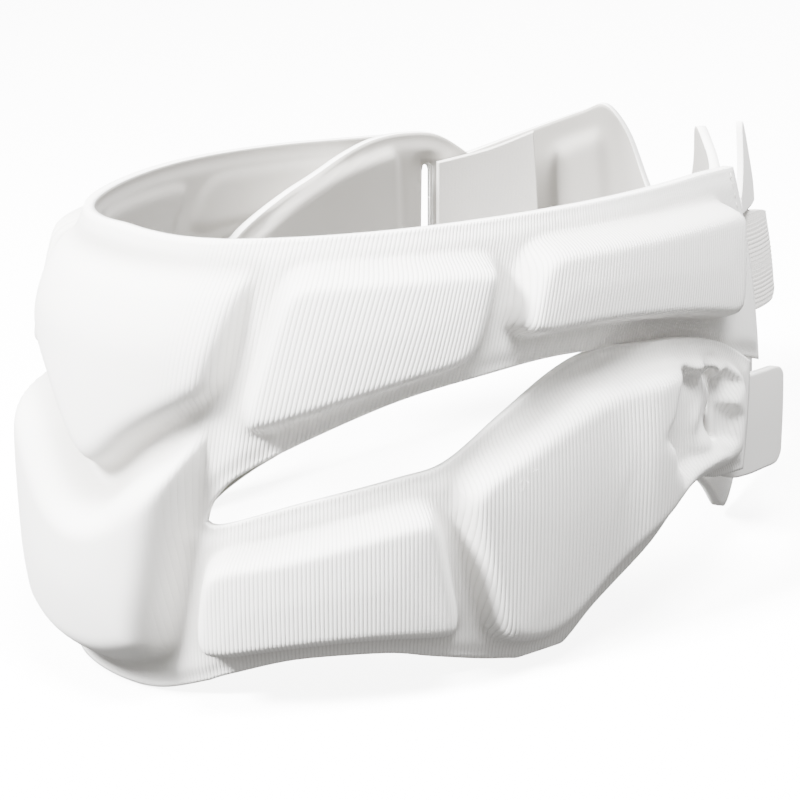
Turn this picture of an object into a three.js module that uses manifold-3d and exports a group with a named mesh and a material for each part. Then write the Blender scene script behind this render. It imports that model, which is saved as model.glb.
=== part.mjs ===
import * as THREE from 'three';
import Module from 'manifold-3d';

// Sponge head guard: an open ring of ribbed fabric over moulded sponge, worn round the forehead,
// the temples and the back of the head. Millimetres. The wearer faces -Y, the wearer's left is +X.
// The ring is drawn as worn, level with the head, and is laid on its lower edge at the end.

// the hollow
const HEAD_HALF_WIDTH = 68;
const HEAD_FRONT = 91.5;
const HEAD_REAR = 98;
const WIDEST_SHARE = 0.38;
const TOP_DRAW_IN = 0.1;
const BOTTOM_DRAW_IN = 0.01;

// the band and what lies on it
const BAND_HEIGHT = 106;
const SHEET = 4;
const REAR_SHEET = 2.6;
const PAD_BROW = 7.5;
const PAD_CHEVRON = 9.5;
const PAD_SIDE = 9;
const PAD_TUCKED = 7;
const PAD_REAR = 3.5;
const FLAP = 1.6;
const WEBBING = 2.3;
const STRAP = 2;
const CLEAR = 0.3;
const SLOT_WIDTH = 4;
const SLOT_HEIGHT = 29;

// how it rests
const REST_PITCH = 6.7;
const REST_DROP = 7.15;

const COVER = { color: 0xf1efeb, roughness: 0.92, metalness: 0 };
const INNER = { color: 0xe2ded8, roughness: 0.95, metalness: 0 };
const WEB = { color: 0xdedbd5, roughness: 0.9, metalness: 0 };
const TAPE = { color: 0xd6d3ce, roughness: 0.85, metalness: 0 };

const rad = THREE.MathUtils.degToRad;

// How far the wall draws in at a height, as a factor on the plan.
function drawIn(z) {
  const widest = WIDEST_SHARE * BAND_HEIGHT;
  if (z > widest) {
    return 1 - TOP_DRAW_IN * ((z - widest) / (BAND_HEIGHT - widest)) ** 2;
  }
  return 1 - BOTTOM_DRAW_IN * ((widest - z) / widest) ** 2;
}

// A point of the ring: turn from the forehead in degrees, height, and distance outside the hollow.
function ringPoint(turn, z, out) {
  const a = rad(turn);
  const factor = drawIn(z);
  const reach = Math.cos(a) > 0 ? HEAD_FRONT : HEAD_REAR;
  const x = HEAD_HALF_WIDTH * factor * Math.sin(a);
  const y = -reach * factor * Math.cos(a);
  const normal = new THREE.Vector2(Math.sin(a) * reach, -Math.cos(a) * HEAD_HALF_WIDTH).normalize();
  return new THREE.Vector3(x + normal.x * out, y + normal.y * out, z);
}

// Laying the worn ring down: its lower edge leans back, and what touches the floor goes flat.
function layDown(p) {
  const a = rad(REST_PITCH);
  const y = p.y * Math.cos(a) + p.z * Math.sin(a);
  const z = -p.y * Math.sin(a) + p.z * Math.cos(a) - REST_DROP;
  return new THREE.Vector3(p.x, y, Math.max(z, 0));
}

// A smooth row between two table rows, with the rows before and after it for the slope.
function smoothRow(before, from, to, after, t) {
  return from.map((value, i) => {
    const slopeIn = (to[i] - before[i]) / 2;
    const slopeOut = (after[i] - value) / 2;
    const h = t * t * (3 - 2 * t);
    const a = t * (1 - t) ** 2;
    const b = t * t * (t - 1);
    return value + (to[i] - value) * h + slopeIn * a + slopeOut * b;
  });
}

// Table rows filled in by a number of steps for each span.
function fill(rows, steps) {
  const out = [rows[0]];
  for (let i = 0; i + 1 < rows.length; i++) {
    const before = rows[Math.max(i - 1, 0)];
    const after = rows[Math.min(i + 2, rows.length - 1)];
    for (let s = 1; s <= steps; s++) {
      out.push(smoothRow(before, rows[i], rows[i + 1], after, s / steps));
    }
  }
  return out;
}

// Closed faceted solid from an outer and an inner point for each corner of a net of four-sided cells.
class Quilt {
  constructor() {
    this.outer = [];
    this.inner = [];
    this.keys = new Map();
    this.cells = [];
  }

  corner(outer, inner) {
    const key = [outer, inner].map((p) => p.toArray().map((v) => v.toFixed(2)).join()).join();
    if (!this.keys.has(key)) {
      this.keys.set(key, this.outer.length);
      this.outer.push(layDown(outer));
      this.inner.push(layDown(inner));
    }
    return this.keys.get(key);
  }

  net(columns) {
    for (let i = 0; i + 1 < columns.length; i++) {
      for (let j = 0; j + 1 < columns[i].length; j++) {
        this.cells.push([columns[i][j], columns[i + 1][j], columns[i + 1][j + 1], columns[i][j + 1]]);
      }
    }
  }

  geometry() {
    const count = this.outer.length;
    const faces = [];
    const edges = new Map();
    for (const cell of this.cells) {
      const ring = cell.filter((v, i) => v !== cell[(i + 1) % 4]);
      for (let i = 1; i + 1 < ring.length; i++) {
        faces.push([ring[0], ring[i], ring[i + 1]]);
        faces.push([ring[0] + count, ring[i + 1] + count, ring[i] + count]);
      }
      ring.forEach((v, i) => {
        const w = ring[(i + 1) % ring.length];
        const back = `${w}/${v}`;
        if (edges.has(back)) {
          edges.delete(back);
        } else {
          edges.set(`${v}/${w}`, [v, w]);
        }
      });
    }
    for (const [v, w] of edges.values()) {
      faces.push([w, v, v + count]);
      faces.push([w, v + count, w + count]);
    }
    const points = [...this.outer, ...this.inner];
    const position = new Float32Array(faces.flat().flatMap((v) => points[v].toArray()));
    const geometry = new THREE.BufferGeometry();
    geometry.setAttribute('position', new THREE.BufferAttribute(position, 3));
    return geometry;
  }
}

// One column of a sheet between a lower and an upper point, in equal steps.
function sheetColumn(quilt, low, high, steps, inside, thickness) {
  const column = [];
  for (let j = 0; j <= steps; j++) {
    const t = j / steps;
    const turn = low[0] + (high[0] - low[0]) * t;
    const z = (low[1] + (high[1] - low[1]) * t) * BAND_HEIGHT;
    const from = typeof inside === 'function' ? inside(t) : inside * SHEET;
    column.push(quilt.corner(ringPoint(turn, z, from + thickness), ringPoint(turn, z, from)));
  }
  return column;
}

// Heights are shares of BAND_HEIGHT. Distances out from the hollow are in thicknesses of SHEET.

// Front panel, from the wearer's right to the left. Columns: turn, lower edge, upper edge.
const FRONT_ROWS = [
  [-25, 0.013, 0.945],
  [-16, -0.024, 0.95],
  [-8, -0.037, 0.955],
  [0, -0.039, 0.96],
  [8, -0.037, 0.958],
  [16, -0.024, 0.957],
  [25, 0.013, 0.96],
];

// The point where the side openings start, shared by the arms.
const FORK = [25, 0.37];

// Upper arm of the wearer's left. Columns: turn below, height below, turn above, height above.
const LEFT_UPPER_ROWS = [
  [25, 0.37, 25, 0.96],
  [26.5, 0.42, 29, 0.963],
  [31.5, 0.482, 34, 0.967],
  [43, 0.567, 43, 0.974],
  [55.5, 0.638, 56, 0.984],
  [67.5, 0.676, 68, 0.993],
  [80, 0.698, 80, 1],
  [94, 0.685, 93, 1.005],
  [105, 0.645, 104, 1.008],
  [117, 0.59, 115, 1.008],
  [128, 0.54, 126.5, 0.997],
];

// Upper arm of the wearer's right, with a rounded upper end.
const RIGHT_UPPER_ROWS = [
  [25, 0.37, 25, 0.945],
  [26.5, 0.42, 29, 0.944],
  [31.5, 0.482, 34, 0.942],
  [43, 0.567, 43, 0.941],
  [55.5, 0.638, 56, 0.943],
  [67.5, 0.676, 68, 0.945],
  [80, 0.698, 80, 0.944],
  [94, 0.685, 93, 0.941],
  [105, 0.645, 104, 0.937],
  [117, 0.59, 115, 0.935],
  [124, 0.555, 122, 0.924],
  [128, 0.54, 128.3, 0.872],
];

// Lower arm of the wearer's left, outside the upper one at its end. Columns: turn below,
// height below, turn above, height above, distance of its inner face below and above.
const LEFT_LOWER_ROWS = [
  [25, 0.013, 25, 0.37, 0, 0],
  [29, 0.034, 28, 0.366, 0, 0],
  [40, 0.076, 41, 0.421, 0, 0],
  [53, 0.087, 55, 0.469, 0, 0],
  [61, 0.07, 62.5, 0.497, 0, 0],
  [71, 0.045, 71, 0.585, 0, 0],
  [79.5, 0.038, 79.5, 0.662, 0, 0],
  [86.5, 0.13, 86.5, 0.695, 0.15, 0.15],
  [94, 0.25, 94, 0.7, 1.12, 1.12],
  [102, 0.37, 101, 0.69, 1.175, 1.175],
  [108, 0.38, 109, 0.655, 1.175, 1.175],
  [113.5, 0.378, 116.5, 0.585, 1.175, 1.175],
];

// Lower arm of the wearer's right: its end is raised and lies inside the upper arm.
const RIGHT_LOWER_ROWS = [
  [25, 0.013, 25, 0.37, 0, 0],
  [29, 0.034, 28, 0.366, 0, 0],
  [40, 0.076, 41, 0.421, 0, 0],
  [53, 0.087, 53, 0.46, 0, 0],
  [61, 0.065, 61, 0.53, -0.1, -0.5],
  [67, 0.042, 67, 0.615, -0.4, -1.6],
  [72.5, 0.034, 72.5, 0.695, -0.9, -2.6],
  [77, 0.085, 77, 0.76, -1.7, -3],
  [82, 0.13, 82, 0.8, -2.5, -3.05],
  [88, 0.165, 88, 0.84, -3, -3.05],
  [94, 0.205, 94, 0.885, -3.05, -3.05],
  [100, 0.3, 100, 0.935, -3.05, -3.05],
  [108, 0.45, 106, 0.973, -3.05, -3.05],
  [115, 0.53, 113, 0.988, -3.05, -3.05],
  [121, 0.57, 120, 0.977, -3.05, -3.05],
  [126, 0.6, 127.5, 0.915, -3.05, -3.05],
];

const ARM_STEPS = 2;
const PAD_STEPS = 3;
const LOWER_ROWS = 3;
const UPPER_ROWS = 5;

function mirror(rows, side, turns) {
  return rows.map((row) => row.map((value, i) => (turns.includes(i) ? value * side : value)));
}

// The band: front panel and four arms in one piece, with the two side openings left between them.
function band() {
  const quilt = new Quilt();
  const columns = fill(FRONT_ROWS, 3).map(([turn, low, high]) => [
    ...sheetColumn(quilt, [turn, low], [turn, FORK[1]], LOWER_ROWS, 0, SHEET).slice(0, -1),
    ...sheetColumn(quilt, [turn, FORK[1]], [turn, high], UPPER_ROWS, 0, SHEET),
  ]);
  quilt.net(columns);
  for (const side of [1, -1]) {
    const upperRows = side > 0 ? LEFT_UPPER_ROWS : RIGHT_UPPER_ROWS;
    const upper = mirror(fill(upperRows, ARM_STEPS), side, [0, 2]).map(([a, b, c, d]) =>
      sheetColumn(quilt, [a, b], [c, d], UPPER_ROWS, 0, SHEET));
    const lowerRows = side > 0 ? LEFT_LOWER_ROWS : RIGHT_LOWER_ROWS;
    const lower = mirror(fill(lowerRows, ARM_STEPS), side, [0, 2]).map(([a, b, c, d, near, far]) =>
      sheetColumn(quilt, [a, b], [c, d], LOWER_ROWS, (t) => (near + (far - near) * t) * SHEET, SHEET));
    quilt.net(side > 0 ? upper : upper.reverse());
    quilt.net(side > 0 ? lower : lower.reverse());
  }
  return quilt.geometry();
}

// Section of a pad's edge. Columns: distance in from the outline in shares of PAD_SIDE,
// share of the thickness.
const PAD_EDGE = [
  [0, 0.38],
  [0.18, 0.78],
  [0.55, 1],
];

// A pad on the band, filled in between a lower and an upper outline of equally many points.
// Points: turn, height as a share of BAND_HEIGHT.
function pad(low, high, thickness, inside) {
  const quilt = new Quilt();
  const lows = fill(low, PAD_STEPS);
  const highs = fill(high, PAD_STEPS);
  const at = (row, t) => {
    const n = row.length - 1;
    const i = Math.min(Math.floor(t * n), n - 1);
    const f = t * n - i;
    return row[i].map((value, k) => value + (row[i + 1][k] - value) * f);
  };
  const place = ([turn, share], out) => ringPoint(turn, share * BAND_HEIGHT, out);
  const length = place(at(lows, 0), SHEET).distanceTo(place(at(lows, 1), SHEET));
  const insets = PAD_EDGE.map(([inset]) => (inset * PAD_SIDE) / length);
  const edgeEnd = insets[insets.length - 1];
  const middle = lows.length - 1;
  const along = [...insets];
  for (let i = 1; i < middle; i++) {
    along.push(edgeEnd + ((1 - 2 * edgeEnd) * i) / middle);
  }
  along.push(...insets.map((inset) => 1 - inset).reverse());
  const last = PAD_EDGE.length - 1;
  const columns = along.map((u, i) => {
    const ring = Math.min(i, along.length - 1 - i, last);
    const foot = at(lows, u);
    const head = at(highs, u);
    const height = place(foot, SHEET).distanceTo(place(head, SHEET));
    const steps = PAD_EDGE.map(([inset]) => (inset * PAD_SIDE) / height);
    const across = [...steps, 0.3, 0.5, 0.7, ...steps.map((step) => 1 - step).reverse()];
    return across.map((v, j) => {
      const row = Math.min(j, across.length - 1 - j, last);
      const rise = PAD_EDGE[Math.min(ring, row)][1] * thickness;
      const spot = foot.map((value, k) => value + (head[k] - value) * v);
      const base = typeof inside === 'function' ? inside(spot[0], spot[1]) : inside;
      return quilt.corner(place(spot, base + rise), place(spot, base));
    });
  });
  quilt.net(columns);
  return quilt.geometry();
}

// Distance of an arm's inner face at a turn and height, read off its own table.
function armDistance(rows) {
  const stations = fill(rows, ARM_STEPS).map(([a, low, c, high, near, far]) => [(a + c) / 2, low, high, near, far]);
  return (turn, share) => {
    const at = Math.abs(turn);
    const i = Math.max(stations.findIndex(([mark]) => mark >= at), 1);
    const f = Math.min(Math.max((at - stations[i - 1][0]) / (stations[i][0] - stations[i - 1][0]), 0), 1);
    const [, low, high, near, far] = stations[i - 1].map((value, k) => value + (stations[i][k] - value) * f);
    const t = Math.min(Math.max((share - low) / (high - low), 0), 1);
    return (near + (far - near) * t) * SHEET;
  };
}

// Pad outlines on the left side. Points: turn, height as a share of BAND_HEIGHT.
const FRONT_UPPER_PAD = {
  low: [[-28, 0.649], [-14, 0.545], [0, 0.447], [14, 0.545], [28, 0.649]],
  high: [[-33, 0.895], [-16, 0.9], [0, 0.905], [16, 0.906], [33, 0.911]],
};
const FRONT_LOWER_PAD = {
  low: [[-18.7, 0.06], [-9, 0.016], [0, 0.006], [9, 0.016], [18.7, 0.06]],
  high: [[-26, 0.575], [-13.5, 0.483], [0, 0.39], [13.5, 0.483], [26, 0.575]],
};
const UPPER_FRONT_PAD = {
  low: [[30.2, 0.551], [41, 0.607], [54, 0.668], [66.2, 0.713]],
  high: [[37.5, 0.919], [49, 0.926], [60, 0.931], [71, 0.931]],
};
const UPPER_REAR_PAD = {
  low: [[70, 0.741], [84, 0.757], [99, 0.735], [113, 0.684]],
  high: [[75, 0.949], [89, 0.955], [104, 0.957], [118, 0.953]],
};
const LOWER_FRONT_PAD = {
  low: [[23.3, 0.058], [38, 0.108], [52, 0.13], [64.7, 0.117]],
  high: [[25.6, 0.311], [37, 0.345], [49, 0.395], [60.6, 0.44]],
};
const LEFT_LOWER_REAR_PAD = {
  low: [[68.7, 0.094], [78, 0.088], [85, 0.185], [92, 0.29], [99.3, 0.41]],
  high: [[62.6, 0.464], [71.5, 0.55], [80.5, 0.62], [90.5, 0.658], [99.8, 0.652]],
};
const RIGHT_UPPER_FRONT_PAD = {
  low: [[30.2, 0.551], [41, 0.607], [54, 0.668], [66.2, 0.713]],
  high: [[37.5, 0.895], [49, 0.895], [60, 0.895], [71, 0.895]],
};
const RIGHT_UPPER_REAR_PAD = {
  low: [[70, 0.741], [84, 0.757], [99, 0.735], [113, 0.684]],
  high: [[75, 0.897], [89, 0.896], [104, 0.892], [114, 0.886]],
};
const RIGHT_LOWER_FRONT_PAD = {
  low: [[23.3, 0.058], [38, 0.108], [50, 0.13], [61, 0.11]],
  high: [[25.6, 0.311], [37, 0.352], [47, 0.395], [56, 0.43]],
};
const RIGHT_LOWER_REAR_PAD = {
  low: [[65.5, 0.094], [75, 0.115], [86, 0.2], [97, 0.32], [108, 0.52]],
  high: [[60.5, 0.465], [69, 0.6], [80, 0.735], [93, 0.83], [106, 0.925]],
};

// Rear panel. Columns: turn, lower edge, upper edge, distance of its inner face.
// Its two ears stand at the sides of a notch, and it hangs lower on the wearer's left.
const REAR_ROWS = [
  [112, 0.34, 0.78, -1.975],
  [121, 0.25, 0.84, -1.975],
  [129.5, 0.16, 0.89, -1.975],
  [137, 0.185, 0.93, -1.975],
  [147, 0.24, 0.962, -1.975],
  [154, 0.3, 0.988, -1.975],
  [160.5, 0.34, 1.02, -1.975],
  [169, 0.37, 0.875, -2.2],
  [180, 0.4, 0.72, -3.1],
  [190, 0.42, 0.84, -2.2],
  [194.5, 0.425, 0.955, -1.8],
  [199.5, 0.425, 1.03, -1.975],
  [206, 0.425, 1.01, -1.975],
  [213, 0.43, 0.983, -1.975],
  [222, 0.435, 0.945, -1.975],
  [231, 0.44, 0.905, -1.975],
  [237, 0.46, 0.88, -1.975],
];
const LEFT_REAR_PAD = {
  low: [[143.5, 0.29], [150, 0.34], [157, 0.39]],
  high: [[144, 0.84], [150, 0.88], [157, 0.93]],
};
const RIGHT_REAR_PAD = {
  low: [[143.5, 0.49], [151, 0.49], [159, 0.49]],
  high: [[144, 0.9], [151, 0.94], [159, 0.97]],
};

// Loose ear standing off the rear panel. Columns: turn below, height below, turn above, height above.
const LEFT_FLAP = [
  [133.5, 0.9, 133, 0.97],
  [137.5, 0.895, 137, 0.99],
  [142, 0.89, 141.5, 1.015],
  [146, 0.89, 145.5, 1.05],
];
const FLAP_LEAN = 0.7;

// Straps. Columns: turn below, height below, turn above, height above, distance of the inner face.
const LEFT_UPPER_TAB = [
  [117, 0.64, 117, 0.88, -0.675],
  [123, 0.645, 123, 0.885, -0.675],
  [128.8, 0.645, 128.8, 0.89, -0.675],
  [132, 0.64, 132, 0.885, -0.45],
  [136, 0.64, 136, 0.87, 0],
  [140, 0.645, 140.5, 0.86, 0.35],
  [142, 0.665, 143, 0.85, 0.5],
];
const RIGHT_UPPER_TAB = [
  [122.6, 0.645, 122.6, 0.86, -0.675],
  [128.8, 0.645, 128.8, 0.84, -0.675],
  [132, 0.64, 132, 0.835, -0.45],
  [136, 0.64, 136, 0.83, 0],
  [140, 0.645, 140.5, 0.825, 0.35],
  [142, 0.665, 143, 0.81, 0.5],
];
const LEFT_LOWER_TAB = [
  [101, 0.42, 101, 0.55, 0.55],
  [108, 0.37, 108, 0.54, 0.55],
  [115, 0.31, 115, 0.535, 0.55],
  [121, 0.29, 121, 0.53, 0.65],
  [126, 0.285, 126, 0.525, 0.95],
  [130, 0.285, 130, 0.52, 1.35],
  [131.5, 0.305, 131.5, 0.5, 1.5],
];
const RIGHT_STRAP = [
  [118.9, 0.66, 118.9, 0.885, -3.6],
  [130, 0.66, 130, 0.915, -3.6],
  [141, 0.67, 141, 0.96, -3.4],
];

// A sheet between lower and upper points, in even steps.
function strip(rows, side, thickness) {
  const quilt = new Quilt();
  const columns = mirror(rows, side, [0, 2]).map(([a, b, c, d, out]) =>
    sheetColumn(quilt, [a, b], [c, d], 3, out, thickness));
  quilt.net(side > 0 ? columns : columns.reverse());
  return quilt.geometry();
}

function mirrorPad(outline) {
  const flip = (points) => points.map(([turn, share]) => [-turn, share]).reverse();
  return { low: flip(outline.low), high: flip(outline.high) };
}

// Cutting one solid out of another.
const wasm = await Module();
wasm.setup();
const { Manifold, Mesh } = wasm;

function toManifold(geometry) {
  const position = geometry.toNonIndexed ? geometry.getAttribute('position') : null;
  const index = geometry.getIndex();
  const order = index ? Array.from(index.array) : Array.from({ length: position.count }, (_, i) => i);
  const keys = new Map();
  const points = [];
  const faces = [];
  for (const v of order) {
    const p = [position.getX(v), position.getY(v), position.getZ(v)];
    const key = p.map((value) => value.toFixed(4)).join();
    if (!keys.has(key)) {
      keys.set(key, points.length / 3);
      points.push(...p);
    }
    faces.push(keys.get(key));
  }
  const kept = [];
  for (let i = 0; i < faces.length; i += 3) {
    const [a, b, c] = faces.slice(i, i + 3);
    if (a !== b && b !== c && c !== a) {
      kept.push(a, b, c);
    }
  }
  return new Manifold(new Mesh({
    numProp: 3,
    vertProperties: Float32Array.from(points),
    triVerts: Uint32Array.from(kept),
  }));
}

function fromManifold(solid) {
  const mesh = solid.getMesh();
  const position = new Float32Array(mesh.triVerts.length * 3);
  mesh.triVerts.forEach((v, i) => {
    for (let k = 0; k < 3; k++) {
      position[i * 3 + k] = mesh.vertProperties[v * mesh.numProp + k];
    }
  });
  const geometry = new THREE.BufferGeometry();
  geometry.setAttribute('position', new THREE.BufferAttribute(position, 3));
  return geometry;
}

// A round-ended cutter through the sheet at a turn and height, lined up with the wall there.
function slotCutter(turn, share, out) {
  const half = SLOT_WIDTH / 2;
  const run = SLOT_HEIGHT / 2 - half;
  const shape = new THREE.Shape();
  shape.moveTo(half, -run);
  shape.lineTo(half, run);
  shape.absarc(0, run, half, 0, Math.PI, false);
  shape.lineTo(-half, -run);
  shape.absarc(0, -run, half, Math.PI, 2 * Math.PI, false);
  const geometry = new THREE.ExtrudeGeometry(shape, { depth: 4 * SHEET, bevelEnabled: false, curveSegments: 6 });
  geometry.translate(0, 0, -2 * SHEET);
  const z = share * BAND_HEIGHT;
  const at = layDown(ringPoint(turn, z, out * SHEET));
  const outward = layDown(ringPoint(turn, z, out * SHEET + 1)).sub(at).normalize();
  const up = layDown(ringPoint(turn, z + 1, out * SHEET)).sub(at).normalize();
  const across = new THREE.Vector3().crossVectors(up, outward).normalize();
  const turnTo = new THREE.Matrix4().makeBasis(across, up, new THREE.Vector3().crossVectors(across, up));
  geometry.applyMatrix4(turnTo.setPosition(at));
  return geometry;
}

const group = new THREE.Group();

function add(name, geometry, finish) {
  geometry.computeVertexNormals();
  const mesh = new THREE.Mesh(geometry, new THREE.MeshStandardMaterial(finish));
  mesh.name = name;
  group.add(mesh);
}

const slotted = toManifold(band())
  .subtract(toManifold(slotCutter(105.5, 0.52, 1.675)))
  .subtract(toManifold(slotCutter(-117.3, 0.745, -1)));
add('band', fromManifold(slotted), INNER);

const onBand = SHEET + CLEAR;
const onRear = REAR_ROWS[0][3] * SHEET + REAR_SHEET + CLEAR;
const onLeftArm = (turn, share) => armDistance(LEFT_LOWER_ROWS)(turn, share) + onBand;
const onRightArm = (turn, share) => armDistance(RIGHT_LOWER_ROWS)(turn, share) + onBand;
const pads = [
  ['pad_front_upper', FRONT_UPPER_PAD, PAD_BROW, onBand],
  ['pad_front_lower', FRONT_LOWER_PAD, PAD_CHEVRON, onBand],
  ['pad_upper_front_left', UPPER_FRONT_PAD, PAD_SIDE, onBand],
  ['pad_upper_front_right', mirrorPad(RIGHT_UPPER_FRONT_PAD), PAD_SIDE, onBand],
  ['pad_upper_rear_left', UPPER_REAR_PAD, PAD_SIDE, onBand],
  ['pad_upper_rear_right', mirrorPad(RIGHT_UPPER_REAR_PAD), PAD_SIDE, onBand],
  ['pad_lower_front_left', LOWER_FRONT_PAD, PAD_SIDE, onBand],
  ['pad_lower_front_right', mirrorPad(RIGHT_LOWER_FRONT_PAD), PAD_SIDE, onRightArm],
  ['pad_lower_rear_left', LEFT_LOWER_REAR_PAD, PAD_SIDE, onLeftArm],
  ['pad_lower_rear_right', mirrorPad(RIGHT_LOWER_REAR_PAD), PAD_TUCKED, onRightArm],
  ['pad_rear_left', LEFT_REAR_PAD, PAD_REAR, onRear],
  ['pad_rear_right', mirrorPad(RIGHT_REAR_PAD), PAD_REAR, onRear],
];
for (const [name, outline, thickness, inside] of pads) {
  add(name, pad(outline.low, outline.high, thickness, inside), COVER);
}

function rearPanel() {
  const quilt = new Quilt();
  quilt.net(fill(REAR_ROWS, 2).map(([turn, low, high, out]) =>
    sheetColumn(quilt, [turn, low], [turn, high], 4, out, REAR_SHEET)));
  return quilt.geometry();
}
add('rear_panel', rearPanel(), COVER);
const flapRows = LEFT_FLAP.map((row) => [...row, (t) => onRear + FLAP_LEAN * SHEET * t]);
add('flap_rear_left', strip(flapRows, 1, FLAP), COVER);
add('tab_upper_left', strip(fill(LEFT_UPPER_TAB, 2), 1, WEBBING), WEB);
add('tab_upper_right', strip(fill(RIGHT_UPPER_TAB, 2), -1, WEBBING), WEB);
add('tab_lower_left', strip(fill(LEFT_LOWER_TAB, 2), 1, STRAP), TAPE);
add('tab_lower_right', strip(fill(RIGHT_STRAP, 3), -1, STRAP), TAPE);

// The origin is on the floor, under the middle of the whole.
const middle = new THREE.Box3().setFromObject(group).getCenter(new THREE.Vector3());
for (const mesh of group.children) {
  mesh.geometry.translate(-middle.x, -middle.y, 0);
}

export default group;
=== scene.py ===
# %% [markdown]
# # Sponge head guard
# The object is an open ring of knitted fabric laminated on sponge foam, worn round the forehead.
# The real one is cut from a laminate sheet, its pads are pressed hot into the sponge, and strap ends
# close it at the back. The CAD model gives the sizes. Here each soft piece is drawn again, finely.

# %% The frame
import math
import bpy
import numpy as np
from mathutils import Matrix, Vector
from mathutils.kdtree import KDTree


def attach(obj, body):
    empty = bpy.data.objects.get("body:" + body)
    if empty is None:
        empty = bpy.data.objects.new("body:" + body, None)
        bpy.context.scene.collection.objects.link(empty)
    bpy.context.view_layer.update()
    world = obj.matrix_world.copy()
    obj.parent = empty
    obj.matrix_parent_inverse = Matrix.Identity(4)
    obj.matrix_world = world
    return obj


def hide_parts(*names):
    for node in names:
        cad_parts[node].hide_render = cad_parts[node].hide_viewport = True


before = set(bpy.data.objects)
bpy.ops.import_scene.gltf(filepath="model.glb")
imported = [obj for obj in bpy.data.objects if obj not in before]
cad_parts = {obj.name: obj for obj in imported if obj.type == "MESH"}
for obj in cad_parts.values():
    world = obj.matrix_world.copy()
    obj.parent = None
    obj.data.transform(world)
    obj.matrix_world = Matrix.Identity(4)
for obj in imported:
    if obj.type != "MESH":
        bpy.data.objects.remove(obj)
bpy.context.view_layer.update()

# %% [markdown]
# ## Named sizes
# The ring follows an oval plan that draws in towards the top. All sizes are in millimetres. They are
# the same as the CAD model's, apart from the chevron pad, which is fuller here. A point is given by its
# turn from the forehead, its height as worn, and its distance outside the hollow. This suits a worn
# thing, because each panel is cut flat and then bent round the head.

# %% Sizes and the plan of the ring
HEAD_HALF_WIDTH = 68
HEAD_FRONT = 91.5
HEAD_REAR = 98
WIDEST_SHARE = 0.38
TOP_DRAW_IN = 0.1
BOTTOM_DRAW_IN = 0.01
BAND_HEIGHT = 106
SHEET = 4
REAR_SHEET = 2.6
PAD_BROW = 7.5
PAD_CHEVRON = 11.6
PAD_SIDE = 9
PAD_TUCKED = 7
PAD_REAR = 3.5
FLAP = 1.6
WEBBING = 2.3
STRAP = 2
CLEAR = 0.3
REST_PITCH = 6.7
REST_DROP = 7.15
MIDDLE_X = 3.654  # the middle of the whole box, which the frame's origin lies under
MIDDLE_Y = -3.443
RIB_PITCH = 0.88


def draw_in(z):
    """How far the wall draws in at a height, as a factor on the plan."""
    widest = WIDEST_SHARE * BAND_HEIGHT
    above = np.clip((z - widest) / (BAND_HEIGHT - widest), 0, None)
    below = np.clip((widest - z) / widest, 0, None)
    return 1 - TOP_DRAW_IN * above ** 2 - BOTTOM_DRAW_IN * below ** 2


def ring_point(turn, z, out):
    """Points of the ring laid on the floor, in metres."""
    a = np.radians(turn)
    factor = draw_in(z)
    reach = np.where(np.cos(a) > 0, HEAD_FRONT, HEAD_REAR)
    nx, ny = np.sin(a) * reach, -np.cos(a) * HEAD_HALF_WIDTH
    size = np.hypot(nx, ny)
    x = HEAD_HALF_WIDTH * factor * np.sin(a) + nx / size * out
    y = -reach * factor * np.cos(a) + ny / size * out
    p = math.radians(REST_PITCH)
    laid_y = y * math.cos(p) + z * math.sin(p) - MIDDLE_Y
    laid_z = np.maximum(-y * math.sin(p) + z * math.cos(p) - REST_DROP, 0)
    return np.stack([x - MIDDLE_X, laid_y, laid_z], -1) * 0.001


TURNS = np.linspace(-250, 250, 2001)
OUTSIDE_STRETCH = 1.06  # the face of the sheet runs this much longer than the plan inside it
round_the_ring = np.radians(TURNS)
half_length = np.where(np.cos(round_the_ring) > 0, HEAD_FRONT, HEAD_REAR)
step_length = np.hypot(HEAD_HALF_WIDTH * np.cos(round_the_ring), half_length * np.sin(round_the_ring))
ALONG = np.cumsum(step_length * np.gradient(round_the_ring) * OUTSIDE_STRETCH)
ALONG -= np.interp(0, TURNS, ALONG)


def along(turn):
    """Distance round the ring from the middle of the forehead, in millimetres."""
    return np.interp(turn, TURNS, ALONG)


print("girth at the pads in mm", round(float(along(180) - along(-180)), 1))

# %% [markdown]
# ## Tables
# Each panel is described by a few rows: where its lower and its upper edge run at some turns. A cutter
# for the real panel is drawn the same way. Heights are shares of the band's height, and distances are
# in thicknesses of the sheet. The rows between are filled in smoothly.

# %% Tables of the panels
# turn, height below, height above
FRONT_ROWS = [
    [-25, 0.013, 0.945], [-16, -0.024, 0.95], [-8, -0.037, 0.955], [0, -0.039, 0.96],
    [8, -0.037, 0.958], [16, -0.024, 0.957], [25, 0.013, 0.96],
]
# where the front panel forks: turn, height
FORK = [25, 0.37]
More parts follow.
